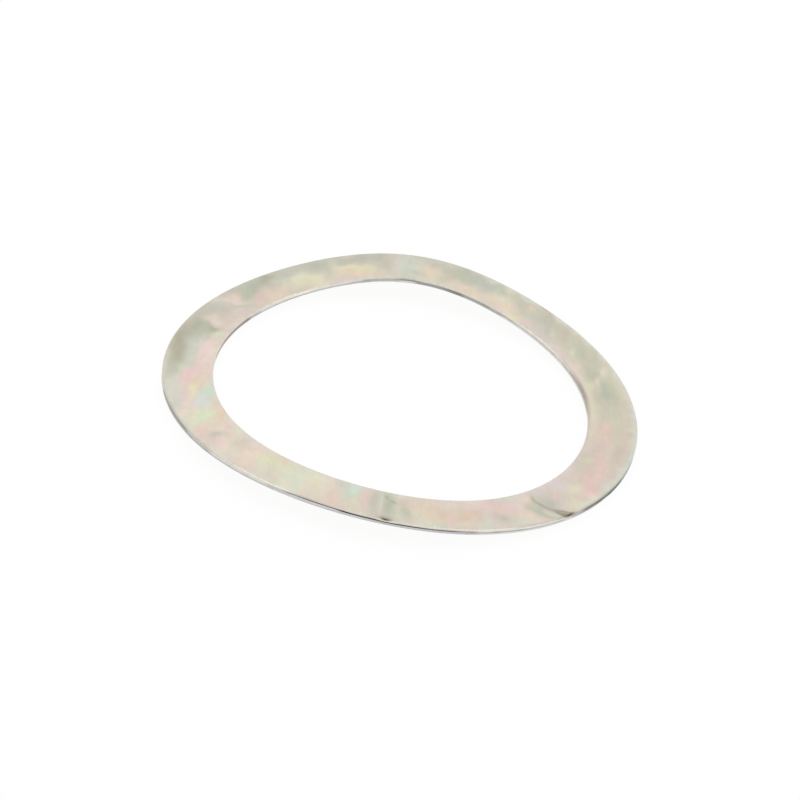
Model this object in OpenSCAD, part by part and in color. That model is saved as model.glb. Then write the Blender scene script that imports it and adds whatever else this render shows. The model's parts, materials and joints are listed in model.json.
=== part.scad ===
// Shim washer: one flat ring blanked from sheet steel, which has taken a soft wave.
// Millimetres. +Z is the axis of the hole, the ring lies on z = 0 and its back is +Y.
// Directions are degrees anticlockwise from +X, seen from above.

/* [Blank] */
// Diameter of the hole
hole_d = 75; // [40:0.5:160]
// Width of the flat band round the hole
band_w = 10; // [6:0.5:20]
// Thickness of the sheet
sheet_t = 1; // [0.5:0.05:2]

/* [Blanked edges] */
// Width of the upper edges that the tool drew down
roll_w = 0.4; // [0.1:0.05:1]
// Depth to which it drew them down at the wall
roll_depth = 0.2; // [0.05:0.01:0.3]

/* [Wave] */
// Height of the bend at the back
back_rise = 3.6; // [0:0.1:8]
// Direction of the bend at the back
back_angle = 92; // [60:1:120]
// Spread of the bend at the back, as a half angle
back_spread = 23; // [15:1:60]
// Height of the bend at the front
front_rise = 5.9; // [0:0.1:12]
// Direction of the bend at the front
front_angle = 256; // [230:1:300]
// Spread of the bend at the front, as a half angle
front_spread = 40; // [15:1:60]
// Height by which the hole's edge tips, up on one side of the ring and down on the other
edge_tip = 0.4; // [0:0.05:0.6]
// Direction in which the hole's edge tips up
tip_angle = 109; // [60:1:150]

/* [Tool marks] */
// Direction of the mark near the front crest
front_mark = 271.5; // [240:0.5:290]
// Direction of the mark at the front right
right_mark = 317; // [295:0.5:350]
// Lean of the right mark's crease from the radius, clockwise as it runs inwards
right_lean = 25; // [0:1:35]
// Length of a crease, inwards from the outer edge
crease_len = 9; // [2:0.5:10]
// Width of a crease at the outer edge
crease_w = 1.6; // [0.4:0.1:4]
// Depth of a crease at the outer edge
crease_depth = 0.12; // [0.02:0.01:0.3]
// Length of a nick along the outer edge
nick_len = 2.4; // [1:0.1:5]
// Reach of a nick, inwards from the outer edge
nick_reach = 0.8; // [0.3:0.1:3]
// Depth of a nick
nick_depth = 0.25; // [0.05:0.05:0.4]

/* [Smoothness] */
// Flat strips that follow the wave round the ring
strips = 180; // [120:12:300]
// Flat strips across each drawn edge
roll_steps = 2; // [2:1:4]

/* [Hidden] */

inner_r = hole_d / 2;
outer_r = inner_r + band_w;

// The swept sheet runs this share of roll_w past both walls, which then trim it
past_wall = 0.5;
// Clearance of cutting shapes above and below what they cut
cut_margin = 1;

// Directions of the strips' edges
stations = [for (i = [0 : strips - 1]) i * 360 / strips];

function total(list) = list * [for (v = list) 1];

// A smooth bend that is 1 at its middle and dies away round the ring
function bend(from_middle, spread) = exp((cos(from_middle) - 1) / pow(spread * PI / 180, 2));

// Both bends together, before the ring is laid level
function raised(a) =
    back_rise * bend(a - back_angle, back_spread) + front_rise * bend(a - front_angle, front_spread);

// The level plane under the two bends: its height and its lean along X and Y
mean_height = total([for (a = stations) raised(a)]) / strips;
lean_x = 2 * total([for (a = stations) raised(a) * cos(a)]) / strips;
lean_y = 2 * total([for (a = stations) raised(a) * sin(a)]) / strips;

// Height of the outer edge over that plane
function wave(a) = raised(a) - mean_height - lean_x * cos(a) - lean_y * sin(a);

lowest = min([for (a = stations) wave(a)]);
highest = max([for (a = stations) wave(a)]);

// How far the hole's edge is tipped up in a direction
function tip(a) = edge_tip * cos(a - tip_angle);

// Height of the middle of the sheet: it rises in proportion to the radius, as a bent flat ring does,
// and the tip grows from nothing at the outer edge to its full height at the hole
function mid_height(r, a) = sheet_t / 2 - lowest + wave(a) * r / outer_r + tip(a) * (outer_r - r) / band_w;

function on_ring(r, a, above_mid) = [r * cos(a), r * sin(a), mid_height(r, a) + above_mid];

// Section of the sheet as [radius, height over its middle], drawn-down upper edges included
function rolled(u) = sheet_t / 2 - roll_depth * u * u;
roll_stations = [for (i = [0 : roll_steps]) i / roll_steps * (1 + past_wall)];
section = concat(
    [[inner_r - roll_w * past_wall, -sheet_t / 2], [outer_r + roll_w * past_wall, -sheet_t / 2]],
    [for (i = [roll_steps : -1 : 0]) [outer_r - roll_w * (1 - roll_stations[i]), rolled(roll_stations[i])]],
    [for (u = roll_stations) [inner_r + roll_w * (1 - u), rolled(u)]]
);

// The section swept round the ring, up and down the wave
module waved_sheet() {
    n = len(section);
    points = [for (a = stations) for (p = section) on_ring(p[0], a, p[1])];
    faces = [
        for (i = [0 : strips - 1])
            for (j = [0 : n - 1])
                [
                    i * n + j,
                    i * n + (j + 1) % n,
                    (i + 1) % strips * n + (j + 1) % n,
                    (i + 1) % strips * n + j
                ]
    ];
    polyhedron(points, faces);
}

// The two round walls that the tool cut: the outside and the hole
module walls() {
    height = highest - lowest + sheet_t + 2 * cut_margin;
    translate([0, 0, -cut_margin])
        difference() {
            cylinder(r = outer_r, h = height, $fn = 180);
            translate([0, 0, -cut_margin])
                cylinder(r = inner_r, h = height + 2 * cut_margin, $fn = 180);
        }
}

// Puts its children on the upper face at the outer edge: X points outwards along the face, Z off it
module at_edge(a) {
    side_slope = (wave(a + 1) - wave(a - 1)) / (2 * PI / 180 * outer_r);
    out_slope = wave(a) / outer_r - tip(a) / band_w;
    translate(on_ring(outer_r, a, sheet_t / 2))
        rotate([0, 0, a])
            rotate([atan(side_slope), -atan(out_slope), 0])
                children();
}

// A shallow pressed line that starts from nothing and deepens towards the outer edge
module crease(lean) {
    end_x = cut_margin + crease_w;
    past_edge = 1 + end_x / crease_len;
    end_y = crease_w * past_edge;
    end_z = crease_depth * past_edge;
    rotate([0, 0, lean])
        polyhedron(
            [[-crease_len, 0, 0], [end_x, end_y, end_z], [end_x, -end_y, end_z], [end_x, 0, -end_z]],
            [[0, 1, 2], [0, 3, 1], [0, 2, 3], [1, 3, 2]]
        );
}

// A nick out of the corner of the edge, where the tool caught it
module nick() {
    nick_r = (pow(nick_len / 2, 2) + pow(nick_depth, 2)) / (2 * nick_depth);
    translate([-nick_reach, 0, nick_r - nick_depth])
        rotate([0, 90, 0])
            cylinder(r = nick_r, h = nick_reach + cut_margin, $fn = 90);
}

module shim_washer() {
    color([0.83, 0.81, 0.75])
        difference() {
            intersection() {
                waved_sheet();
                walls();
            }
            for (mark = [[front_mark, 0], [right_mark, right_lean]])
                at_edge(mark[0]) {
                    crease(mark[1]);
                    nick();
                }
        }
}

shim_washer();
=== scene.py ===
"""Look of the waved shim washer: its swept ring, its iridescent zinc finish, its studio and its camera.

Everything is in metres in the part's own frame: +Z is the axis of the hole and the ring lies on z = 0.
Directions are degrees anticlockwise from +X, seen from above.
"""

import json
import math

import bpy
import numpy as np
from mathutils import Matrix, Vector


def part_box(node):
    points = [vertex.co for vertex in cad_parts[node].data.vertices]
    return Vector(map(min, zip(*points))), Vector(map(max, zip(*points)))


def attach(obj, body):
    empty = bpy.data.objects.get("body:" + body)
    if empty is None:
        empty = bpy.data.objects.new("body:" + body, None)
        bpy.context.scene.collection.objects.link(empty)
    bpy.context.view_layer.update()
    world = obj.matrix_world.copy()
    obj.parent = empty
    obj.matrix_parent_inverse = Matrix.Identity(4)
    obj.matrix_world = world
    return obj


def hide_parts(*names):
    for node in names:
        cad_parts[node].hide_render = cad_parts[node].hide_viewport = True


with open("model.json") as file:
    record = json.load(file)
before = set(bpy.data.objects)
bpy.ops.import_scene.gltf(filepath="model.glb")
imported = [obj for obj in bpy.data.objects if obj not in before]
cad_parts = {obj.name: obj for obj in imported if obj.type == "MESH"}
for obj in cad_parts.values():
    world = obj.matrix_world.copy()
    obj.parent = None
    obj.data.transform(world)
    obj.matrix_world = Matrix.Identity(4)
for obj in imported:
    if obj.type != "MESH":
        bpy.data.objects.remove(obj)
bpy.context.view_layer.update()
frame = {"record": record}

MM = 0.001
CAD_NODE = "shim_washer"

# The ring's main sizes come from the part itself
ring_low, ring_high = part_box(CAD_NODE)
bore = frame["record"]["mounts"][0]["dims"]
OUTER_R = (ring_high.x - ring_low.x) / 2
HOLE_R = bore["r_mm"] * MM
BAND = OUTER_R - HOLE_R
SHEET = bore["length_mm"] * MM

# Upper edges that the tool drew down
DRAWN_W = 0.4 * MM
DRAWN_DEPTH = 0.2 * MM

# The wave's two bends: height, direction and spread
BENDS = {
    "Back": (3.6 * MM, 92, 23),
    "Front": (5.9 * MM, 256, 40),
}
# Degrees between the directions in which the bends are measured to lay them level
LEVEL_STEP = 2
# How far the hole's edge tips, up in this direction and down in the other
EDGE_TIP = 0.4 * MM
TIP_DIRECTION = 109

# The tool's two pressed marks: direction, and lean of the crease from the radius
MARKS = {
    "Front": (271.5, 0),
    "Right": (317, 25),
}
CREASE_LEN = 9 * MM
CREASE_W = 1.6 * MM
CREASE_DEPTH = 0.12 * MM
NICK_LEN = 2.4 * MM
NICK_REACH = 0.8 * MM
NICK_DEPTH = 0.25 * MM
# A nick keeps its depth inwards and closes over the last one of this many parts of its reach
NICK_PARTS = 3

# Fineness of the swept mesh: stations round the ring, and rows over the upper face, down each wall and over
# the underside
STATIONS = 1080
TOP_ROWS = 52
WALL_ROWS = 10
BASE_ROWS = 16
# How far the rows of the faces crowd towards the walls, from 0 for even rows to 1
CROWDING = 0.75
# Points further from the middle of the band than this share of half its width are on a wall
WALL_LIMIT = 0.999
# Two whole numbers in the tree are the same when they differ by less than this
SAME = 0.1


def bend_height(direction):
    """Height of both bends in a direction, before the ring is laid level."""
    height = 0
    for rise, middle, spread in BENDS.values():
        fall = math.cos(math.radians(direction - middle)) - 1
        height += rise * math.exp(fall / math.radians(spread) ** 2)
    return height


def level_plane():
    """The level plane under the bends: its mean height and its lean along X and Y.

    The fourth value is the lowest point of the wave over that plane.
    """
    directions = range(0, 360, LEVEL_STEP)
    heights = [bend_height(d) for d in directions]
    count = len(heights)
    mean = sum(heights) / count
    lean_x = 2 * sum(h * math.cos(math.radians(d)) for h, d in zip(heights, directions)) / count
    lean_y = 2 * sum(h * math.sin(math.radians(d)) for h, d in zip(heights, directions)) / count
    lowest = min(
        h - mean - lean_x * math.cos(math.radians(d)) - lean_y * math.sin(math.radians(d))
        for h, d in zip(heights, directions)
    )
    return mean, lean_x, lean_y, lowest


MEAN_HEIGHT, LEAN_X, LEAN_Y, LOWEST = level_plane()
# Height of the middle of the sheet where the wave is at its mean
LEVEL = SHEET / 2 - LOWEST


def linear(code):
    """An sRGB hex colour as the linear colour that Blender works in."""
    levels = [int(code[i : i + 2], 16) / 255 for i in (1, 3, 5)]
    return (*[v / 12.92 if v <= 0.04045 else ((v + 0.055) / 1.055) ** 2.4 for v in levels], 1)


def add(tree, kind, *feeds, out=0, **settings):
    """Adds a node with its settings, feeds its inputs in order and gives one of its outputs.

    A feed is another node's output, a value, or None to leave the input as it is.
    """
    node = tree.nodes.new(kind)
    for name, value in settings.items():
        setattr(node, name, value)
    inputs = [socket for socket in node.inputs if socket.enabled]
    for socket, feed in zip(inputs, feeds):
        if isinstance(feed, bpy.types.NodeSocket):
            tree.links.new(feed, socket)
        elif feed is not None:
            socket.default_value = feed
    return node.outputs[out] if len(node.outputs) else None


def ring_inputs():
    """Every size that the ring's tree takes, by the name of its input."""
    sizes = {
        "Outer radius": OUTER_R,
        "Hole radius": HOLE_R,
        "Sheet thickness": SHEET,
        "Drawn width": DRAWN_W,
        "Drawn depth": DRAWN_DEPTH,
        "Mean height": MEAN_HEIGHT,
        "Lean X": LEAN_X,
        "Lean Y": LEAN_Y,
        "Level": LEVEL,
        "Edge tip": EDGE_TIP,
        "Tip direction": math.radians(TIP_DIRECTION),
        "Crease length": CREASE_LEN,
        "Crease width": CREASE_W,
        "Crease depth": CREASE_DEPTH,
        "Nick length": NICK_LEN,
        "Nick reach": NICK_REACH,
        "Nick depth": NICK_DEPTH,
        "Stations": STATIONS,
        "Upper rows": TOP_ROWS,
        "Wall rows": WALL_ROWS,
        "Lower rows": BASE_ROWS,
    }
    for name, (rise, direction, spread) in BENDS.items():
        sizes[f"{name} rise"] = rise
        sizes[f"{name} direction"] = math.radians(direction)
        sizes[f"{name} spread"] = math.radians(spread)
    for name, (direction, lean) in MARKS.items():
        sizes[f"{name} mark"] = math.radians(direction)
        sizes[f"{name} lean"] = math.radians(lean)
    return sizes


def ring_tree():
    """Geometry nodes that sweep the sheet's section round the ring and set every point on the wave."""
    tree = bpy.data.node_groups.new("waved_ring", "GeometryNodeTree")
    tree.interface.new_socket("Ring", in_out="OUTPUT", socket_type="NodeSocketGeometry")
    for name, value in ring_inputs().items():
        kind = "NodeSocketInt" if isinstance(value, int) else "NodeSocketFloat"
        tree.interface.new_socket(name, in_out="INPUT", socket_type=kind).default_value = value
    tree.interface.new_socket("Finish", in_out="INPUT", socket_type="NodeSocketMaterial")
    given = tree.nodes.new("NodeGroupInput").outputs

    def calc(operation, *feeds):
        return add(tree, "ShaderNodeMath", *feeds, operation=operation)

    def keep(geometry, name, value):
        return add(tree, "GeometryNodeStoreNamedAttribute", geometry, None, name, value, data_type="FLOAT")

    def read(name):
        return add(tree, "GeometryNodeInputNamedAttribute", name, data_type="FLOAT")

    # The path is a circle that keeps its own direction at each station
    index = add(tree, "GeometryNodeInputIndex")
    path = add(
        tree, "GeometryNodeCurvePrimitiveCircle", given["Stations"], given["Outer radius"], mode="RADIUS"
    )
    turn = calc("DIVIDE", calc("MULTIPLY", index, math.tau), given["Stations"])
    path = keep(path, "direction", turn)

    # The section is the sheet's rectangle, each of whose four sides gets its own number of rows. The first
    # side is the upper one, and the second and fourth are the walls
    width = calc("SUBTRACT", given["Outer radius"], given["Hole radius"])
    half_width = calc("DIVIDE", width, 2)
    half_sheet = calc("DIVIDE", given["Sheet thickness"], 2)
    section = add(
        tree, "GeometryNodeCurvePrimitiveQuadrilateral", width, given["Sheet thickness"], mode="RECTANGLE"
    )
    side = calc("MODULO", index, 4)
    long_side = calc("COMPARE", calc("MODULO", side, 2), 0, SAME)
    upper_side = calc("COMPARE", side, 0, SAME)
    more_rows = calc("SUBTRACT", given["Upper rows"], given["Lower rows"])
    face_rows = calc("ADD", given["Lower rows"], calc("MULTIPLY", upper_side, more_rows))
    more_rows = calc("SUBTRACT", face_rows, given["Wall rows"])
    rows = calc("ADD", given["Wall rows"], calc("MULTIPLY", long_side, more_rows))
    section = add(tree, "GeometryNodeSubdivideCurve", section, calc("SUBTRACT", rows, 1))
    split = add(tree, "ShaderNodeSeparateXYZ", add(tree, "GeometryNodeInputPosition"))
    section = keep(section, "across", calc("DIVIDE", split, half_width))
    section = keep(section, "above", calc("DIVIDE", split.node.outputs["Y"], half_sheet))

    # The section runs clockwise, so the swept faces are turned to point outwards
    ring = add(tree, "GeometryNodeFlipFaces", add(tree, "GeometryNodeCurveToMesh", path, section))

    # Closer rows: the sine of an even spacing crowds it towards both walls
    even = read("across")
    crowded = calc("SINE", calc("MULTIPLY", even, math.pi / 2))
    across = calc("ADD", calc("MULTIPLY", even, 1 - CROWDING), calc("MULTIPLY", crowded, CROWDING))
    above = read("above")
    direction = read("direction")
    radius = calc("ADD", given["Hole radius"], calc("MULTIPLY", calc("ADD", across, 1), half_width))
    from_wall = calc("MULTIPLY", calc("SUBTRACT", 1, calc("ABSOLUTE", across)), half_width)
    upper_share = calc("DIVIDE", calc("ADD", above, 1), 2)

    # The drawn-down edge falls as a parabola towards the wall
    drawn = calc("MAXIMUM", calc("SUBTRACT", 1, calc("DIVIDE", from_wall, given["Drawn width"])), 0)
    drop = calc("MULTIPLY", given["Drawn depth"], calc("MULTIPLY", drawn, drawn))

    # Marks: a crease that fades inwards, and a scooped nick at the outer edge
    inwards = calc("SUBTRACT", given["Outer radius"], radius)
    reach = calc("SUBTRACT", 1, calc("DIVIDE", inwards, given["Nick reach"]))
    open_end = calc("MINIMUM", calc("MAXIMUM", calc("MULTIPLY", reach, NICK_PARTS), 0), 1)
    half_groove = calc("DIVIDE", given["Crease width"], 2)
    half_nick = calc("DIVIDE", given["Nick length"], 2)
    for name in MARKS:
        beside = calc("MULTIPLY", calc("SUBTRACT", direction, given[f"{name} mark"]), radius)
        lean_sine = calc("SINE", given[f"{name} lean"])
        lean_cosine = calc("COSINE", given[f"{name} lean"])
        off_line = calc("ADD", calc("MULTIPLY", beside, lean_cosine), calc("MULTIPLY", inwards, lean_sine))
        along_line = calc(
            "SUBTRACT", calc("MULTIPLY", inwards, lean_cosine), calc("MULTIPLY", beside, lean_sine)
        )
        fade = calc("SUBTRACT", 1, calc("DIVIDE", along_line, given["Crease length"]))
        groove = calc("SUBTRACT", fade, calc("DIVIDE", calc("ABSOLUTE", off_line), half_groove))
        groove = calc("MULTIPLY", given["Crease depth"], calc("MAXIMUM", groove, 0))
        scoop = calc("DIVIDE", beside, half_nick)
        scoop = calc("MAXIMUM", calc("SUBTRACT", 1, calc("MULTIPLY", scoop, scoop)), 0)
        nick = calc("MULTIPLY", calc("MULTIPLY", given["Nick depth"], scoop), open_end)
        drop = calc("MAXIMUM", drop, calc("MAXIMUM", groove, nick))

    # The wave is both bends over their level plane. It rises in proportion to the radius, as a bent flat
    # ring does, and the tip grows from nothing at the outer edge to its full height at the hole
    cosine = calc("COSINE", direction)
    sine = calc("SINE", direction)
    wave = calc("MULTIPLY", given["Mean height"], -1)
    for name in BENDS:
        off_middle = calc("SUBTRACT", direction, given[f"{name} direction"])
        fall = calc("SUBTRACT", calc("COSINE", off_middle), 1)
        spread = given[f"{name} spread"]
        bend = calc("EXPONENT", calc("DIVIDE", fall, calc("MULTIPLY", spread, spread)))
        wave = calc("ADD", wave, calc("MULTIPLY", given[f"{name} rise"], bend))
    wave = calc("SUBTRACT", wave, calc("MULTIPLY", given["Lean X"], cosine))
    wave = calc("SUBTRACT", wave, calc("MULTIPLY", given["Lean Y"], sine))
    out_share = calc("DIVIDE", radius, given["Outer radius"])
    middle = calc("ADD", given["Level"], calc("MULTIPLY", wave, out_share))
    off_tip = calc("SUBTRACT", direction, given["Tip direction"])
    tip = calc("MULTIPLY", given["Edge tip"], calc("COSINE", off_tip))
    middle = calc("ADD", middle, calc("MULTIPLY", tip, calc("DIVIDE", inwards, width)))
    height = calc("ADD", middle, calc("MULTIPLY", above, half_sheet))
    height = calc("SUBTRACT", height, calc("MULTIPLY", drop, upper_share))

    x = calc("MULTIPLY", radius, cosine)
    y = calc("MULTIPLY", radius, sine)
    point = add(tree, "ShaderNodeCombineXYZ", x, y, height)
    ring = add(tree, "GeometryNodeSetPosition", ring, None, point)
    # Kept for the stains and the painted lines: which points are on a wall, and the share of the way down
    # through the sheet
    ring = keep(ring, "wall", calc("GREATER_THAN", calc("ABSOLUTE", even), WALL_LIMIT))
    ring = keep(ring, "down", calc("SUBTRACT", 1, upper_share))
    ring = add(tree, "GeometryNodeSetShadeSmooth", ring)
    ring = add(tree, "GeometryNodeRealizeInstances", ring)
    ring = add(tree, "GeometryNodeSetMaterial", ring, None, given["Finish"])
    add(tree, "NodeGroupOutput", ring)
    return tree


def made_by(tree, name, values):
    """The plain mesh object that a geometry tree makes from these input values."""
    holder = bpy.data.objects.new(name, bpy.data.meshes.new(name))
    bpy.context.scene.collection.objects.link(holder)
    modifier = holder.modifiers.new(tree.name, "NODES")
    modifier.node_group = tree
    for item in tree.interface.items_tree:
        if item.in_out == "INPUT":
            modifier[item.identifier] = values[item.name]
    graph = bpy.context.evaluated_depsgraph_get()
    mesh = bpy.data.meshes.new_from_object(holder.evaluated_get(graph), depsgraph=graph)
    mesh.name = name
    holder.modifiers.clear()
    holder.data = mesh
    return holder


# Tints of the film, in its clear places and its dried ones, of bruised steel and of the drawn edges' lines;
# several of them also lay painted shade, painted highlights and painted dark reflections at the marks and
# along the edges
TINTS = {
    "ground": "#D9D0C2",
    "cream": "#E3D9C9",
    "blush": "#E8D8CC",
    "dry": "#C6C4B6",
    "rose": "#D8C6BE",
    "coral": "#E6C8BF",
    "pink": "#E4CBC6",
    "peach": "#E6D2BD",
    "amber": "#D9C1AF",
    "straw": "#DFD7BA",
    "lemon": "#E6DFBC",
    "lime": "#DCDFC6",
    "green": "#D4E4C0",
    "mint": "#CDD8C8",
    "aqua": "#CAE0CF",
    "sky": "#D6DCE0",
    "lilac": "#D6CACD",
    "mauve": "#CFC4BD",
    "pale": "#D7D6CC",
    "silver": "#E0DDD2",
    "haze": "#CFCCC5",
    "bloom": "#ECCDC8",
    "petal": "#EAD4CC",
    "berry": "#DDBFBA",
    "tan": "#CAC1B1",
    "slate": "#C0C1B6",
    "khaki": "#CBC8B2",
    "sage": "#BABFAC",
    "olive": "#B0AE9A",
    "plum": "#8E7F8A",
    "bark": "#8A8372",
    "bruise": "#4E4A38",
}
# Of these, dried film and bruised steel shine less, and so do the same tints where they also lay painted
# shade
MATT_TINTS = ("dry", "tan", "slate", "sage", "olive", "bark", "bruise")

# The upper face is tinted in three steps, each spot laid over the ones before it. A place is a direction
# and the millimetres from the hole's edge.
# First, tones that follow the ring: tint, strength, direction, from the hole, half length along the ring
# and half width
BANDS = [
    # Dried film over the back, and also painted shade: these bands darken the far half as if less light fell
    # on it
    ("dry", 0.85, 62, 8, 34, 4.2),
    ("dry", 0.95, 135, 8.2, 36, 4),
    ("dry", 0.55, 40, 5, 22, 3),
    ("dry", 0.45, 150, 5, 20, 2.5),
    ("cream", 0.8, 222, 4, 24, 7),
    ("rose", 0.8, 340, 5, 24, 6),
    ("blush", 0.6, 29, 1.8, 7, 1.2),
    ("blush", 0.4, 72, 1.3, 9, 1.4),
    ("peach", 0.5, 67, 2, 6, 1.6),
    ("cream", 0.6, 9, 1.2, 9, 1),
    ("lemon", 0.5, 9, 1.3, 9, 1),
    ("tan", 0.5, 5, 6, 12, 4),
    ("straw", 0.4, 18, 8.2, 6, 1),
    ("rose", 0.7, 156, 2.4, 8, 1.6),
    ("petal", 0.8, 182, 2, 7, 1.8),
    ("blush", 0.7, 184, 1.6, 7, 1.5),
    ("lilac", 0.6, 40, 1.3, 6, 1),
    ("lilac", 0.4, 316, 1, 14, 0.9),
    ("pink", 0.5, 305, 2.6, 7, 1.4),
    ("lime", 0.5, 246, 5, 6, 5),
    ("haze", 0.7, 198, 9, 8, 1.6),
    ("pale", 0.7, 211, 9, 6, 1),
    ("lemon", 0.9, 236, 3.6, 7, 1.1),
    ("lime", 0.9, 246, 4, 6, 1.4),
    ("blush", 0.5, 229, 6, 5, 2.2),
    ("khaki", 0.7, 31, 6.5, 24, 4.5),
    # Painted highlights: the light mint, aqua, silver and pale lines along the outer edge and the silver ones
    # at the hole's edge
    ("mint", 0.7, 348, 9.5, 9, 0.6),
    ("mint", 0.8, 330, 9.3, 9, 0.7),
    ("aqua", 0.5, 346, 9.6, 5, 0.4),
    ("silver", 0.8, 46, 9.6, 27, 0.9),
    ("silver", 0.6, 49, 0.1, 6, 0.3),
    ("pale", 0.6, 352, 9.7, 12, 0.5),
    ("silver", 0.5, 280, 0.4, 38, 0.8),
    ("silver", 0.7, 236, 9.8, 15, 0.4),
    # Painted shade along the front crease
    ("slate", 0.4, 271, 5, 2.6, 6),
]

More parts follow.
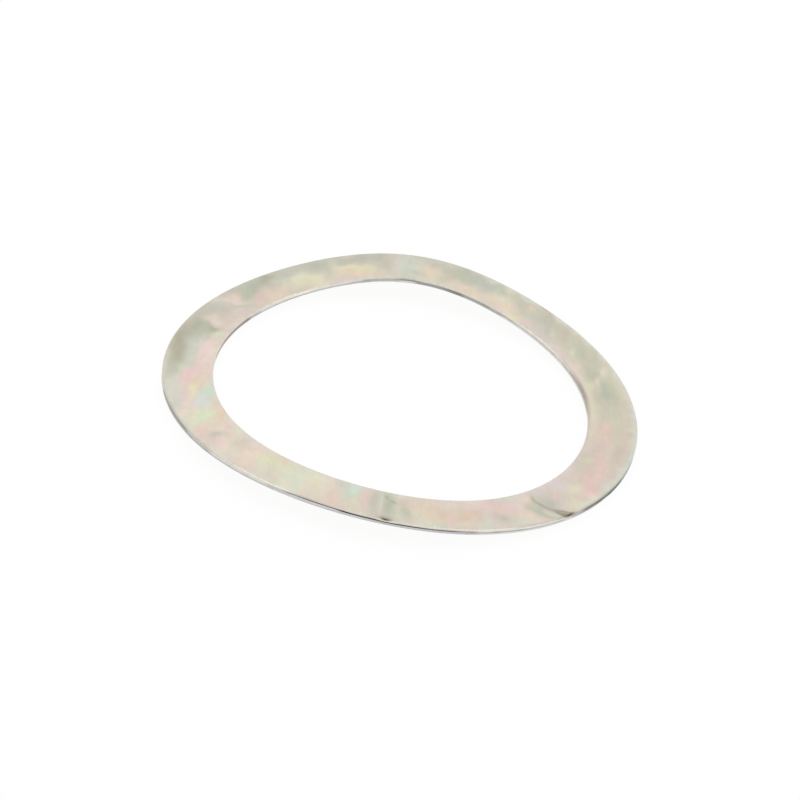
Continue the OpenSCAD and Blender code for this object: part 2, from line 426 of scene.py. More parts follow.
# Then stains that are drawn out along Y, the way the sheet was rolled: tint, strength, direction, from the
# hole, half length along Y and half width
STAINS = [
    ("coral", 1, 0.8, 3.6, 2, 0.7),
    ("coral", 0.7, 353.5, 3.2, 2.6, 1.2),
    ("khaki", 0.5, 7, 5.6, 5, 2),
    ("sky", 0.5, 8.5, 9.5, 3, 0.6),
    ("sage", 0.9, 17, 5.2, 3.6, 2),
    ("cream", 0.9, 21.2, 4.2, 2, 0.6),
    ("sage", 0.5, 26, 4.5, 3.1, 1.8),
    ("cream", 0.7, 25.5, 7, 2.4, 0.7),
    ("sage", 0.6, 36, 5, 3.2, 1.8),
    ("lime", 0.6, 36.8, 3.8, 1.4, 0.8),
    ("mauve", 0.4, 31.5, 5.6, 1.4, 0.8),
    ("petal", 0.7, 29, 1.9, 4.4, 1.1),
    ("lemon", 0.4, 19, 2.2, 2, 0.7),
    ("tan", 0.9, 45.5, 7.4, 3.6, 2.2),
    ("slate", 0.5, 50, 5, 3.8, 1.6),
    ("lime", 0.4, 46.5, 4.3, 1.8, 0.8),
    ("lilac", 0.3, 48, 1.8, 2.4, 1.4),
    ("pink", 0.7, 54.6, 2, 1, 1),
    ("lemon", 0.8, 58.8, 1.4, 1, 1.6),
    ("mint", 0.5, 56, 4.1, 1.6, 0.9),
    ("peach", 0.6, 57.8, 6.8, 1.6, 1.1),
    ("cream", 0.7, 65.8, 8.6, 1.6, 1.6),
    ("peach", 0.9, 62.6, 3.1, 1.3, 2),
    ("straw", 0.6, 67, 3.6, 1.4, 1.8),
    ("cream", 0.7, 64.6, 4.4, 1.6, 1.4),
    ("mauve", 0.4, 70.5, 8.2, 1, 1),
    ("slate", 0.4, 71, 7, 1.6, 1.2),
    ("slate", 0.9, 75, 6.4, 2.4, 2.6),
    ("slate", 0.9, 70, 7.2, 1.6, 2.2),
    ("sage", 0.8, 79.5, 6.8, 3.2, 3.5),
    ("coral", 0.5, 80, 2.2, 1, 1),
    ("peach", 0.8, 75.5, 2.2, 1.2, 2),
    ("tan", 0.6, 83, 4, 2.5, 1.2),
    ("straw", 0.9, 88, 3.6, 2.2, 2.2),
    ("amber", 0.6, 90, 3.4, 1.4, 1.2),
    ("peach", 0.6, 86.4, 5, 1.4, 2),
    ("pale", 0.6, 95, 4.6, 5, 2),
    ("mint", 0.7, 94.4, 2.8, 4.2, 2.2),
    ("sage", 0.2, 95, 2, 3.4, 1.6),
    ("sage", 0.6, 92.6, 2.2, 0.6, 0.8),
    ("pale", 0.6, 98, 6, 2.8, 1.1),
    ("tan", 0.5, 99.8, 5.6, 3.8, 0.9),
    ("sage", 0.6, 102.5, 7.5, 2.5, 1.4),
    ("slate", 0.5, 107, 8, 2.2, 2.3),
    ("lemon", 0.9, 111, 5, 1.5, 4),
    ("lemon", 0.8, 108.3, 3.4, 1.4, 2.6),
    ("straw", 0.8, 110.5, 3.6, 1, 3),
    ("peach", 0.9, 110.5, 2.2, 1, 3),
    ("peach", 0.8, 114.4, 2.8, 1.6, 1.4),
    ("slate", 0.7, 112.5, 8.5, 1.4, 3.2),
    ("sage", 0.6, 118.5, 7.4, 2.2, 2.3),
    ("pink", 0.6, 116, 0.8, 0.9, 2),
    ("slate", 0.8, 121.5, 8.7, 1.5, 2.2),
    ("lime", 1, 124.5, 3.6, 1.9, 4.4),
    ("lemon", 0.6, 124.6, 3.6, 1.5, 3.6),
    ("lime", 0.6, 129, 3.4, 1.5, 2.2),
    ("peach", 0.6, 132.8, 3, 1.4, 1.6),
    ("straw", 0.8, 126, 1.5, 1.5, 2.9),
    ("slate", 0.6, 128, 7.2, 1.5, 2),
    ("sage", 0.9, 137, 7.6, 2, 1.6),
    ("bark", 0.3, 133.6, 9.2, 0.5, 1.2),
    ("olive", 0.6, 135.2, 8, 1.5, 1.4),
    ("bark", 0.2, 134.3, 8.7, 0.7, 1),
    ("sage", 1, 140.3, 6.8, 2, 1.8),
    ("sage", 0.7, 144.4, 4.9, 1, 1.6),
    ("sage", 0.8, 142.5, 5.8, 1.4, 1.8),
    ("peach", 0.5, 137.6, 3.2, 1.2, 2.4),
    ("peach", 0.7, 138, 2.2, 2.8, 2.1),
    ("coral", 0.6, 143, 2.7, 2, 1.4),
    ("coral", 0.4, 146.6, 7, 1.6, 1.6),
    ("blush", 0.6, 147, 7.4, 1.4, 1.6),
    ("blush", 0.8, 150, 7, 1.6, 2.6),
    ("lime", 0.25, 148.6, 5.2, 0.9, 1.6),
    ("pale", 0.5, 152, 9, 1.4, 2.2),
    ("sage", 0.5, 149.5, 4.4, 0.6, 2.6),
    ("slate", 0.4, 156, 7.6, 2.2, 1.4),
    ("blush", 0.8, 160.7, 4.7, 1.6, 1.6),
    ("cream", 0.7, 161, 4.9, 1.2, 2),
    ("sage", 0.7, 163.5, 7.6, 2, 1.6),
    ("olive", 0.8, 167.5, 6.6, 3.6, 1.8),
    ("olive", 0.8, 163.9, 3.9, 0.9, 1.5),
    ("sage", 0.7, 166, 5, 1.6, 1.6),
    ("green", 0.6, 166.8, 2.2, 1.2, 1.2),
    ("olive", 1, 174, 8.4, 6, 1.8),
    ("sage", 0.7, 171, 6.2, 3.8, 1.2),
    ("olive", 0.85, 181, 7.6, 4.4, 1.6),
    ("pale", 0.4, 186, 9.6, 4, 0.5),
    ("sage", 0.7, 187.5, 7.3, 2.8, 1.5),
    ("mint", 0.8, 176.5, 5, 4, 1.1),
    ("slate", 0.3, 176, 5.4, 3, 1),
    ("pale", 0.7, 173, 4, 3, 0.8),
    ("mint", 0.5, 187, 5.6, 3.8, 1.1),
    ("petal", 0.8, 177.5, 2, 5, 1.3),
    ("pink", 0.8, 191.5, 5, 3, 1.3),
    ("bloom", 1, 191, 5, 2.6, 1.2),
    ("petal", 0.8, 188, 3, 4.2, 1.4),
    ("peach", 0.6, 191.5, 2.2, 2.2, 1.2),
    ("pale", 0.5, 194, 8, 4, 1.4),
    ("slate", 0.3, 205, 9.2, 3, 0.7),
    ("haze", 0.5, 203, 7.6, 7, 1.2),
    ("coral", 0.6, 200, 6, 5, 0.8),
    ("coral", 0.7, 194.8, 4.2, 2, 1),
    ("peach", 1, 195.2, 3, 2, 1.6),
    ("lemon", 1, 198.2, 4.2, 2.6, 1),
    ("aqua", 0.8, 198, 1, 3.2, 1.6),
    ("lemon", 0.9, 209.5, 6.2, 2.4, 0.9),
    ("lime", 1, 209, 4.8, 3, 1.2),
    ("green", 0.9, 211, 4.2, 1.8, 1.2),
    ("sky", 0.8, 203.2, 3.5, 2.4, 1.6),
    ("peach", 0.9, 211, 1.8, 4.4, 0.9),
    ("amber", 0.5, 213.5, 2, 3, 0.6),
    ("peach", 0.4, 205, 0.8, 3, 0.7),
    ("blush", 0.6, 207, 7.6, 4, 1),
    ("straw", 0.6, 216, 4.5, 2.2, 1.6),
    ("lime", 0.5, 213, 7.4, 3, 1.2),
    ("pink", 0.7, 219, 2.4, 2.5, 1.1),
    ("coral", 0.8, 217.5, 7.2, 2, 1.5),
    ("pink", 0.7, 224, 7.2, 2.6, 1.6),
    ("slate", 0.7, 220.6, 5.6, 1.2, 1.7),
    ("tan", 0.3, 226.5, 4.6, 2, 1.4),
    ("mauve", 0.5, 226.5, 2.6, 2.2, 1.2),
    ("lime", 0.6, 220.5, 0.7, 1.5, 0.8),
    ("peach", 0.6, 234, 6.6, 2.1, 1.4),
    ("lime", 0.7, 237.5, 5, 2, 1.4),
    ("straw", 0.7, 238, 1.9, 2, 1.4),
    ("pink", 0.6, 231, 2.2, 1.8, 1.8),
    ("lime", 0.6, 245, 3.4, 2, 2.3),
    ("lime", 0.6, 245.5, 8.5, 1.5, 2.3),
    ("mint", 0.5, 248.5, 6, 3.2, 1.2),
    ("tan", 0.3, 243, 7.4, 2, 1.4),
    ("peach", 0.6, 241, 1.8, 1.2, 1.1),
    ("lime", 0.5, 251, 1.8, 2, 1.6),
    ("peach", 0.4, 252, 5, 1.8, 1.5),
    ("straw", 0.4, 254.5, 7, 2, 0.9),
    ("coral", 0.7, 258.4, 8, 2, 1.2),
    ("coral", 0.7, 258.8, 6.2, 2.4, 1.3),
    ("peach", 0.5, 256.5, 3.1, 2.4, 1.4),
    ("lilac", 0.5, 257.8, 1.5, 1.2, 1.1),
    ("aqua", 0.8, 261.6, 3.2, 3.6, 1.6),
    ("sky", 0.5, 262, 1.4, 1.6, 0.8),
    ("straw", 0.7, 263.2, 6.8, 2.2, 1),
    ("coral", 0.7, 266, 5, 3.4, 0.9),
    ("cream", 0.5, 274.1, 5.5, 1.8, 0.3),
    ("sage", 0.8, 276.2, 6.4, 2.2, 1.6),
    ("tan", 0.4, 276, 3.2, 2.6, 1.1),
    ("straw", 0.7, 284, 6.6, 2, 2.3),
    ("amber", 0.6, 286, 4.6, 2.4, 2),
    ("peach", 0.8, 281, 4.4, 3, 2.4),
    ("mint", 0.6, 283, 8.7, 1.2, 2.3),
    ("coral", 0.8, 287.6, 6.8, 2.6, 1.2),
    ("amber", 1, 291.5, 4.6, 2.2, 1.4),
    ("coral", 0.7, 291, 7.4, 1.6, 1.2),
    ("amber", 0.7, 291, 6.6, 1.6, 1.4),
    ("amber", 1, 294.3, 5.4, 1.8, 1.1),
    ("straw", 0.5, 290, 8.5, 1.2, 0.9),
    ("pink", 0.8, 286, 1.2, 0.8, 3),
    ("mauve", 0.5, 292, 0.9, 0.6, 1.5),
    ("mint", 0.6, 296, 7.9, 1.9, 1.5),
    ("mauve", 0.95, 300.6, 4.6, 1.8, 1.6),
    ("pink", 0.6, 305, 4, 2, 1.6),
    ("sage", 0.5, 301.5, 6.4, 1.2, 1.8),
    ("pink", 0.7, 297.6, 3, 1.5, 2.4),
    ("coral", 0.6, 302, 3.2, 1.5, 2),
    ("mint", 0.7, 305, 8.9, 1.1, 1.9),
    ("blush", 0.9, 309, 8, 1.8, 1.4),
    ("coral", 0.4, 308.6, 7.6, 1.6, 1.2),
    ("peach", 0.6, 307.5, 6.5, 1.8, 1.4),
    ("sage", 0.8, 311.3, 6.8, 2.2, 1),
    ("sage", 0.5, 311, 4.8, 2, 1.2),
    ("sage", 0.6, 317, 5.4, 2.8, 1.6),
    ("mauve", 0.9, 320.4, 5.8, 2.2, 1.2),
    ("lime", 0.9, 322.6, 8.3, 1.2, 2),
    ("straw", 0.6, 322, 7.6, 2, 0.9),
    ("khaki", 0.6, 327, 5.3, 2, 2.4),
    ("straw", 0.6, 327, 5.2, 1.7, 2.2),
    ("lime", 0.4, 326.8, 5.4, 1.7, 2),
    ("bloom", 0.8, 328.6, 7.6, 2, 2.2),
    ("berry", 0.95, 332.2, 7, 2.4, 1.8),
    ("amber", 0.5, 333.5, 7, 1.8, 1),
    ("rose", 0.8, 337, 5.9, 2.6, 1.1),
    ("coral", 0.8, 334.4, 5, 2.2, 1.5),
    ("coral", 0.6, 341.6, 4.9, 3.4, 1.6),
    ("rose", 0.5, 349, 4.2, 4, 1.5),
    ("lilac", 1, 325.6, 1.8, 1.4, 1.6),
    ("pink", 0.4, 326.2, 2, 1.2, 1),
    ("lilac", 0.5, 318.5, 1.9, 1.5, 1.2),
    ("mint", 0.5, 335, 8.7, 2.4, 0.9),
    ("sage", 0.5, 342.5, 1.7, 2.4, 1.2),
    ("lemon", 0.5, 341.5, 2.4, 1.4, 1.2),
    ("slate", 0.3, 337.5, 1.3, 2, 0.9),
    ("tan", 0.5, 341, 8, 3, 1),
    ("tan", 0.8, 349.5, 7, 4.4, 1.4),
    ("amber", 0.5, 358, 4, 4, 1),
    ("tan", 0.8, 359, 8.6, 1, 0.8),
]

# Last, the bruises at the tool's marks and the dull lines of the drawn edges. At the marks, the dark spots
# are painted shade in the creases and nicks over bruised steel, and the pale strips are painted highlights on
# the creases' ridges. The edges' dull lines are painted dark reflections. Each is: tint, strength, direction,
# from the hole, half length, half width, and lean of the length from the ring
BRUISES_AND_PAINTED_LIGHT = [
    # Front crease: painted shade on its facets and a painted highlight along its ridge
    ("sage", 1, 271.9, 5, 5, 1.3, 90),
    ("bark", 0.4, 272.9, 3.3, 0.7, 0.4, 30),
    ("bark", 0.35, 271, 2.1, 0.8, 0.45, 70),
    ("slate", 0.75, 268.1, 4.6, 4.6, 0.9, 90),
    ("cream", 0.45, 269.9, 5.6, 3.4, 0.28, 90),
    ("mauve", 0.9, 55.4, 9.4, 1.8, 0.9, 0),
    ("bark", 0.18, 55.4, 9.6, 1.4, 0.6, 0),
    # Front nick: painted shade in its scoop, over bruised steel
    ("bark", 0.3, 271.6, 9, 1.4, 0.6, 0),
    ("bruise", 0.98, 271.4, 9.45, 1, 0.26, 4),
    # Right crease and nick: painted shade and painted highlights on the crease's facets, and painted shade in
    # the nick over bruised steel
    ("slate", 0.7, 315.5, 5, 1.7, 2.6, 0),
    ("sage", 0.8, 311.5, 6.9, 2.8, 0.72, 68),
    ("sage", 0.6, 313.4, 9.1, 1.4, 0.4, 40),
    ("pale", 0.7, 313.6, 8, 1.6, 0.35, 62),
    ("olive", 0.8, 316.3, 8.6, 1.1, 0.8, 60),
    ("bark", 0.7, 317.3, 8.5, 1.7, 0.28, 44),
    ("bark", 0.75, 315.8, 8.4, 1.5, 0.28, 76),
    ("bark", 0.5, 314.2, 5.2, 2, 0.32, 76),
    ("olive", 0.8, 313.8, 2.9, 1.1, 0.35, 112),
    ("lemon", 0.45, 312.2, 2, 0.9, 0.8, 0),
    ("bark", 0.5, 314.6, 10, 1, 0.25, 0),
    ("bark", 0.6, 316.8, 9.2, 1.1, 0.5, 20),
    ("bruise", 0.98, 317.8, 9.75, 1.35, 0.4, 6),
    # Painted dark reflections: dark lines laid along the drawn outer edge and the hole's edge
    ("bark", 0.5, 209, 10, 10, 0.35, 0),
    ("bark", 0.3, 226, 10, 7, 0.25, 0),
    ("bark", 0.5, 253.5, 10, 4, 0.3, 0),
    ("bark", 0.35, 306.5, 9.75, 4.5, 0.2, 0),
    ("bark", 0.6, 329, 10, 9, 0.28, 0),
    ("bark", 0.42, 15.5, 0, 10, 0.5, 0),
    ("plum", 0.5, 18, 0.3, 5, 0.45, 0),
    ("sage", 0.7, 95, 0, 2.5, 0.3, 0),
]

# The sheared walls have a plain tint, and bands along them, partly where the tool burnished or tore the steel
# and partly painted light. The white and gold bands are painted glints, and the black, iron and grey steel
# lines are painted dark reflections and shade along the edges, over burnished steel. Each band is: tint,
# strength, first and last direction, and first and last share of the way down. A share below 0 or over 1
# leaves the band's soft side off the wall
SHEARED = "#E2E0DC"
WALL_TINTS = {
    "black": "#2B2E2F",
    "iron": "#5C6066",
    "umber": "#857A76",
    "bark": "#5F5846",
    "steel": "#9FA09F",
    "moss": "#5A6A5E",
    "violet": "#C9C6CB",
    # These two are painted glints
    "white": "#F2F0EE",
    "gold": "#FFF8E4",
}
OUTER_WALL_BANDS = [
    ("steel", 0.4, -4, 197, 0.4, 1.3),
    ("steel", 0.4, 344, 364, 0.4, 1.3),
    ("iron", 0.75, 197, 216, -0.3, 0.45),
    ("steel", 0.7, 196, 219, 0.3, 0.9),
    ("steel", 0.4, 215, 226, -0.3, 1),
    ("steel", 0.55, 220, 250, 0.55, 0.85),
    ("steel", 0.5, 243, 250, 0, 0.5),
    # Painted dark reflections along the front edge, over burnished steel
    ("iron", 0.85, 248, 262, -0.3, 0.2),
    ("black", 0.9, 252, 263, -0.2, 0.15),
    ("black", 1, 261, 273, 0, 0.38),
    ("black", 0.95, 272, 280, 0.08, 0.45),
    # Painted glint just under the front nick
    ("gold", 0.9, 269.8, 273.8, -0.3, 0.13),
    ("black", 0.9, 270, 275, 0.26, 0.5),
    ("bark", 0.6, 270.5, 275.5, 0.55, 0.85),
    ("black", 0.85, 279, 288, 0.1, 0.5),
    ("iron", 0.6, 286, 292, 0.1, 0.5),
    ("violet", 0.9, 250, 292, 0.42, 1.1),
    ("steel", 0.6, 290, 298, 0.2, 0.7),
    ("steel", 0.8, 296, 304, 0.22, 0.6),
    ("steel", 0.6, 303, 316, 0.28, 0.65),
    # Painted glint along the drawn edge
    ("white", 0.9, 293, 316, -0.3, 0.12),
    ("bark", 0.7, 316.5, 319.2, -0.3, 0.25),
    ("steel", 0.6, 318.5, 323, -0.3, 0.9),
    ("black", 0.85, 322.5, 329, -0.3, 0.55),
    ("steel", 0.8, 322.5, 329, 0.35, 0.95),
    ("black", 0.8, 328, 334.5, -0.3, 0.75),
    ("moss", 1, 333, 341, -0.3, 1.2),
    ("moss", 0.65, 339, 349, -0.3, 1.3),
]
HOLE_WALL_BANDS = [
    ("steel", 0.4, 178, 364, 0.4, 1.3),
    ("umber", 0.6, 7, 28, -0.3, 0.35),
    ("steel", 0.35, 7, 33, 0.2, 0.7),
    ("steel", 0.4, 27, 40, 0, 0.45),
    ("steel", 0.4, 38, 64, 0.1, 0.7),
    ("steel", 0.45, 57, 63, -0.3, 0.5),
    ("steel", 0.65, 62, 78, 0.02, 0.95),
    ("iron", 0.62, 76.5, 92, 0.08, 0.9),
    ("umber", 0.6, 77, 82, 0.1, 1.1),
    ("moss", 0.3, 66, 78, 0, 0.8),
    ("moss", 0.65, 91, 97.5, -0.3, 0.45),
    ("moss", 0.42, 97, 109, 0, 0.8),
    ("steel", 0.6, 106, 113, 0.3, 0.9),
    ("steel", 0.5, 112, 150, 0.55, 1.05),
    # Painted glint on the hole's wall
    ("gold", 1, 127, 134, -0.3, 0.4),
    ("umber", 0.4, 147, 154, 0, 1),
    ("umber", 0.85, 152, 169, 0, 1.15),
    ("umber", 0.75, 167, 179, 0, 1.3),
]

# Degrees over which a wall's band fades at its ends, and share of the way down over which it fades at its
# sides
WALL_END_SOFT = 3
WALL_SIDE_SOFT = 0.16

# Crossing waves that fray the stains: how far a long wave shifts a place and its length, the swing and the
# length of the wave that bends it, and the shift and the two lengths of a short slanting wave. The swing is
# in radians and the rest is in millimetres, with each length the part of a wave that turns one radian
FRAYED_ACROSS = (0.2, 2.1, 1.7, 3.3, 0.12, 0.8, 1.2)
FRAYED_ALONG = (0.6, 1.6, 1.3, 4.1, 0.4, 0.7, -2.3)

# Width in millimetres of the strip of specks and painted glints beside each wall
RIM_W = 0.9


def linear_tint(code):
    """A tint's three linear levels, ready to be laid over other tints."""
    return np.array(linear(code)[:3])


def frayed(run, side, waves):
    """How far the crossing waves shift a place, from its place along their run and to the side of it."""
    shift, length, swing, bent_length, short_shift, short_length, slant_length = waves
    long_wave = shift * np.sin(run / length + swing * np.sin(side / bent_length))
    return long_wave + short_shift * np.sin(run / short_length + side / slant_length)


def wander(x, y):
    """Shifted places, which give the stains the ragged outlines of a film that ran."""
    return x + frayed(y, x, FRAYED_ACROSS), y + frayed(x, y, FRAYED_ALONG)


def soft_spot(run, rise):
    """1 at the middle of a spot and 0 outside, fading with the distance in half lengths and half widths."""
    return np.exp(-(run**2) - rise**2)


def ring_spot(direction, from_hole, middle, out, half_length, half_width, lean=0):
    """A spot whose length follows the ring, or leans from it by an angle."""
    along = np.radians((direction - middle + 180) % 360 - 180) * (HOLE_R / MM + from_hole)
    beyond = from_hole - out
    turn = math.radians(lean)
    run = (along * math.cos(turn) + beyond * math.sin(turn)) / half_length
    rise = (beyond * math.cos(turn) - along * math.sin(turn)) / half_width
    return soft_spot(run, rise)


def rolled_spot(x, y, middle, out, half_length, half_width):
    """A spot whose length follows Y, the way the sheet was rolled."""
    radius = HOLE_R / MM + out
    across = x - radius * math.cos(math.radians(middle))
    along = y - radius * math.sin(math.radians(middle))
    return soft_spot(along / half_length, across / half_width)


def eased(share):
    """A share kept between 0 and 1, which starts and stops softly."""
    share = np.clip(share, 0, 1)
    return share * share * (3 - 2 * share)


def smooth_between(values, first, last, soft):
    """1 between two limits and 0 outside, with a soft step across each limit."""
    return eased((values - first) / soft + 0.5) * eased((last - values) / soft + 0.5)


def wall_spot(direction, down, first, last, top, bottom):
    """A band along a wall between two directions and two depths, with soft ends and sides."""
    ends = smooth_between(direction, first, last, WALL_END_SOFT)
    return ends * smooth_between(down, top, bottom, WALL_SIDE_SOFT)


def point_values(mesh, name):
    """The values that the ring's tree kept on its points under this name."""
    values = np.empty(len(mesh.vertices))
    mesh.attributes[name].data.foreach_get("value", values)
    return values


def keep_on_points(mesh, name, values):
    """Keeps a value on each point for the finish to read."""
    kept = mesh.attributes.new(name, "FLOAT", "POINT")
    kept.data.foreach_set("value", values.astype(np.float32))


def stain_ring(mesh):
    """Keeps on the ring's points their tint, with its painted shade, painted highlights and painted dark
    reflections, how matt they are, and how near a wall they lie.
    """
    count = len(mesh.vertices)
    places = np.empty(count * 3)
    mesh.vertices.foreach_get("co", places)
    x, y, _ = places.reshape(-1, 3).T / MM
    direction = np.degrees(np.arctan2(y, x)) % 360
    from_hole = np.hypot(x, y) - HOLE_R / MM
    down = point_values(mesh, "down")
    wall = point_values(mesh, "wall")
    ragged_x, ragged_y = wander(x, y)
    ragged_out = np.hypot(ragged_x, ragged_y) - HOLE_R / MM

    plain = linear_tint(TINTS["ground"])
    tint = np.tile(plain, (count, 1))
    matt = np.zeros(count)

    def lay(name, share):
        tint[:] = tint + (linear_tint(TINTS[name]) - tint) * share[:, None]
        matt[:] = matt + (float(name in MATT_TINTS) - matt) * share

    for name, strength, *place in BANDS:
        lay(name, strength * ring_spot(direction, ragged_out, *place))
    for name, strength, *place in STAINS:
        lay(name, strength * rolled_spot(ragged_x, ragged_y, *place))
    for name, strength, *place in BRUISES_AND_PAINTED_LIGHT:
        lay(name, strength * ring_spot(direction, from_hole, *place))

    # Each wall takes its own bands, and the underside stays plain
    outer_side = from_hole > BAND / MM / 2
    sheared = np.tile(linear_tint(SHEARED), (count, 1))
    for bands, this_side in ((OUTER_WALL_BANDS, outer_side), (HOLE_WALL_BANDS, ~outer_side)):
        for name, strength, *place in bands:
            share = (strength * this_side * wall_spot(direction, down, *place))[:, None]
            sheared += (linear_tint(WALL_TINTS[name]) - sheared) * share
    under = (down > 0.5) & (wall < 0.5)
    tint[under] = plain
    matt[under] = 0
    tint = tint + (sheared - tint) * wall[:, None]

    colours = np.ones((count, 4), np.float32)
    colours[:, :3] = tint
    mesh.attributes.new("tint", "FLOAT_COLOR", "POINT").data.foreach_set("color", colours.ravel())
    keep_on_points(mesh, "matt", matt)
    from_wall = np.minimum(from_hole, BAND / MM - from_hole)
    keep_on_points(mesh, "rim", np.exp(-((from_wall / RIM_W) ** 2)))


# The finish's patterns: size of a blotch in millimetres, detail, and how far it is drawn out along Y, the way
# the sheet was rolled. The streaks are its grain, which is finer on the real sheet and is drawn this coarse
# so that it shows
PATTERNS = {
    "clouds": (5, 4, 2.4),
    "drift": (3, 4, 2.4),
    "mottle": (1.4, 5, 1.4),
    "streaks": (0.4, 3, 14),
    # Specks beside the walls, which also serve as painted glints
    "specks_and_glints": (0.5, 3, 1),
}
PATTERN_ROUGHNESS = 0.55
# The metal's plain level, and how much each pattern lightens and darkens it
PLAIN_LEVEL = 1.01
TONES = {"clouds": 0.28, "mottle": 0.18, "streaks": 0.07, "specks_and_glints": 0.3}
# How fast the drift turns the film pinker or greener, and how far
DRIFT_GAIN = 2
PINKER = "#FFF2F3"
GREENER = "#F4FFF2"
# Roughness of the bright film, and what the mottle and a dried patch add to it
SATIN = 0.34
MOTTLED = 0.16
DRIED = 0.12
# Strength and depth of the grain's relief
GRAIN_STRENGTH = 0.12
GRAIN_DEPTH = 0.02 * MM


def zinc_passivate():
    """Rolled steel sheet, zinc plated and passivated clear.

    To the eye: pale satin metal under a film that thins and thickens, so that pink, peach, straw and mint
    clouds drift over it, with grey-green patches where it dried dull. The tint it reads also holds painted
    shade, painted highlights and painted dark reflections at the marks and edges, and the specks beside the
    walls are partly painted glints.
    """
    material = bpy.data.materials.new("zinc_passivate_on_rolled_sheet")
    material.use_nodes = True
    tree = material.node_tree
    tree.nodes.clear()
    coordinates = add(tree, "ShaderNodeTexCoord", out="Object")

    def calc(operation, *feeds, **settings):
        return add(tree, "ShaderNodeMath", *feeds, operation=operation, **settings)

    def pattern(size_mm, detail, drawn_out):
        """Noise between about -0.5 and 0.5 on the sheet, with blotches of a real size."""
        scale = [1 / (size_mm * MM * share) for share in (1, drawn_out, 1)]
        place = add(tree, "ShaderNodeMapping", coordinates, None, None, scale)
        noise = add(tree, "ShaderNodeTexNoise", place, 1, detail, PATTERN_ROUGHNESS)
        return calc("SUBTRACT", noise, 0.5)

    def attribute(name, out):
        return add(tree, "ShaderNodeAttribute", attribute_name=name, out=out)

    def mix(share, first, second, blend="MIX"):
        return add(
            tree, "ShaderNodeMix", share, first, second, data_type="RGBA", blend_type=blend, out="Result"
        )

    patterns = {name: pattern(*sizes) for name, sizes in PATTERNS.items()}
    # Specks and glints are seen only beside the walls, where they are the specks and the painted glints of
    # the drawn edges
    patterns["specks_and_glints"] = calc("MULTIPLY", patterns["specks_and_glints"], attribute("rim", "Fac"))

    # The film drifts between pink and green, and it is a little thicker and thinner in clouds
    tint = attribute("tint", "Color")
    pinker = calc("MULTIPLY", patterns["drift"], DRIFT_GAIN, use_clamp=True)
    greener = calc("MULTIPLY", patterns["drift"], -DRIFT_GAIN, use_clamp=True)
    tint = mix(pinker, tint, mix(1.0, tint, linear(PINKER), "MULTIPLY"))
    tint = mix(greener, tint, mix(1.0, tint, linear(GREENER), "MULTIPLY"))
    value = PLAIN_LEVEL
    for name, tone in TONES.items():
        value = calc("ADD", value, calc("MULTIPLY", patterns[name], tone))
    colour = mix(1.0, tint, add(tree, "ShaderNodeCombineColor", value, value, value), "MULTIPLY")

    # Dried patches are duller
    roughness = calc("ADD", SATIN, calc("MULTIPLY", patterns["mottle"], MOTTLED))
    roughness = calc("ADD", roughness, calc("MULTIPLY", attribute("matt", "Fac"), DRIED))
    grain = add(tree, "ShaderNodeBump", GRAIN_STRENGTH, GRAIN_DEPTH, None, patterns["streaks"])
    surface = tree.nodes.new("ShaderNodeBsdfPrincipled")
    surface.inputs["Metallic"].default_value = 1
    tree.links.new(colour, surface.inputs["Base Color"])
    tree.links.new(roughness, surface.inputs["Roughness"])
    tree.links.new(grain, surface.inputs["Normal"])
    add(tree, "ShaderNodeOutputMaterial", surface.outputs[0])
    return material


WHITE = "#FFFFFF"
# Level at which the white surround lights the part
ROOM_LEVEL = 0.7
# The floor: half its side, its paper as it lights the part, and as the camera sees it, which is a dark paper
# that takes the shadow and a glow that brings it up to white
FLOOR_HALF = 2.0
PAPER = "#F2F2F2"
SHADOWED_PAPER = "#5C5C5C"
PAPER_GLOW = 0.92
# Two square soft boxes, high up on the left and on the right, with the same side and power
SOFTBOXES = {
    "left_softbox": (-0.347, 0.142, 0.592),
    "right_softbox": (0.335, 0.125, 0.603),
}
SOFTBOX_SIDE = 0.2
SOFTBOX_POWER = 0.16


def seen_directly(tree):
    """1 for the camera and for what metal or glass reflects or lets through, and 0 for light on the part."""
    rays = tree.nodes.new("ShaderNodeLightPath").outputs
    seen = rays["Is Camera Ray"]
    for name in ("Is Glossy Ray", "Is Transmission Ray"):
        seen = add(tree, "ShaderNodeMath", seen, rays[name], operation="MAXIMUM")
    return seen


def studio_world():
    """A plain white surround that lights the part at a lower, even level."""
    world = bpy.data.worlds.new("white_surround")
    world.use_nodes = True
    tree = world.node_tree
    tree.nodes.clear()
    room_light = add(tree, "ShaderNodeBackground", linear(WHITE), ROOM_LEVEL)
    white = add(tree, "ShaderNodeBackground", linear(WHITE), 1)
    surround = add(tree, "ShaderNodeMixShader", seen_directly(tree), room_light, white)
    add(tree, "ShaderNodeOutputWorld", surround)
    bpy.context.scene.world = world


def floor_paper():
    """Matt white paper, lit to white, that still takes a faint shadow from the part."""
    material = bpy.data.materials.new("matt_white_paper")
    material.use_nodes = True
    tree = material.node_tree
    tree.nodes.clear()
    paper = add(tree, "ShaderNodeBsdfDiffuse", linear(PAPER))
    faint = add(tree, "ShaderNodeBsdfDiffuse", linear(SHADOWED_PAPER))
    glow = add(tree, "ShaderNodeEmission", linear(WHITE), PAPER_GLOW)
    bright = add(tree, "ShaderNodeAddShader", faint, glow)
    surface = add(tree, "ShaderNodeMixShader", seen_directly(tree), paper, bright)
    add(tree, "ShaderNodeOutputMaterial", surface)
    return material


def make_floor():
    """Lays the paper under the ring."""
    half = FLOOR_HALF
    mesh = bpy.data.meshes.new("floor")
    corners = [(-half, -half, 0), (half, -half, 0), (half, half, 0), (-half, half, 0)]
    mesh.from_pydata(corners, [], [(0, 1, 2, 3)])
    mesh.materials.append(floor_paper())
    floor = bpy.data.objects.new("floor", mesh)
    bpy.context.scene.collection.objects.link(floor)


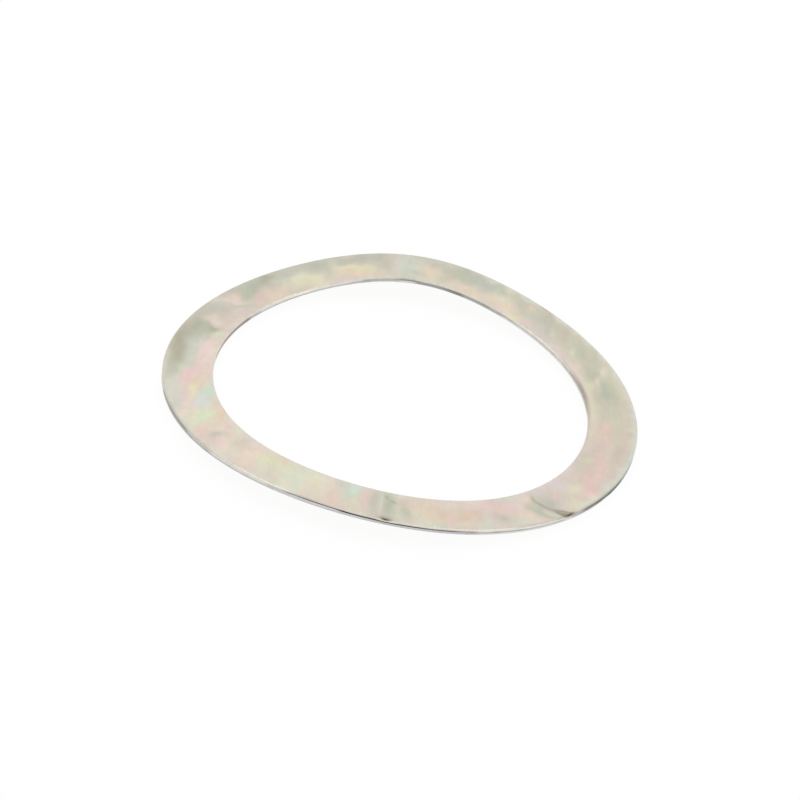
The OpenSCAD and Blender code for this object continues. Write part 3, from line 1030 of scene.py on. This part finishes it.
def soft_lamp(name, place):
    """A square soft box that looks at the ring."""
    lamp = bpy.data.lights.new(name, "AREA")
    lamp.size = SOFTBOX_SIDE
    lamp.energy = SOFTBOX_POWER
    holder = bpy.data.objects.new(name, lamp)
    holder.location = place
    holder.rotation_euler = (Vector(place) * -1).to_track_quat("-Z", "Y").to_euler()
    bpy.context.scene.collection.objects.link(holder)


# The photograph's frame: its side in pixels, and where the middle of the ring falls in it
PICTURE_SIDE = 800
RING_MIDDLE_X = 402.37
RING_MIDDLE_Y = 388.53
# The camera looks down on the ring at this angle and from this distance, is turned by this angle about its
# own view, and has this sensor and lens in millimetres
VIEW_ANGLE = 33.1
VIEW_DISTANCE = 0.487
VIEW_TURN = 10.23
SENSOR = 36
LENS = 110.66
# Nothing nearer than this is seen
NEAREST = 0.01


def aim_camera():
    """Sets the camera at the photograph's viewing angle."""
    camera = bpy.data.cameras.new("product_camera")
    camera.sensor_width = SENSOR
    camera.lens = LENS
    camera.shift_x = -(RING_MIDDLE_X - PICTURE_SIDE / 2) / PICTURE_SIDE
    camera.shift_y = (RING_MIDDLE_Y - PICTURE_SIDE / 2) / PICTURE_SIDE
    camera.clip_start = NEAREST
    tilt = math.radians(VIEW_ANGLE)
    back = Vector((0, -math.cos(tilt), math.sin(tilt)))
    place = Vector((0, 0, LEVEL)) + back * VIEW_DISTANCE
    upright = back.to_track_quat("Z", "Y").to_matrix()
    turned = upright @ Matrix.Rotation(math.radians(VIEW_TURN), 3, "Z")
    holder = bpy.data.objects.new("product_camera", camera)
    holder.matrix_world = Matrix.Translation(place) @ turned.to_4x4()
    bpy.context.scene.collection.objects.link(holder)
    bpy.context.scene.camera = holder


ring = made_by(ring_tree(), "shim_ring", {**ring_inputs(), "Finish": zinc_passivate()})
stain_ring(ring.data)
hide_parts(CAD_NODE)
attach(ring, "root")

make_floor()
studio_world()
for name, place in SOFTBOXES.items():
    soft_lamp(name, place)
aim_camera()
bpy.context.scene.view_settings.view_transform = "Standard"
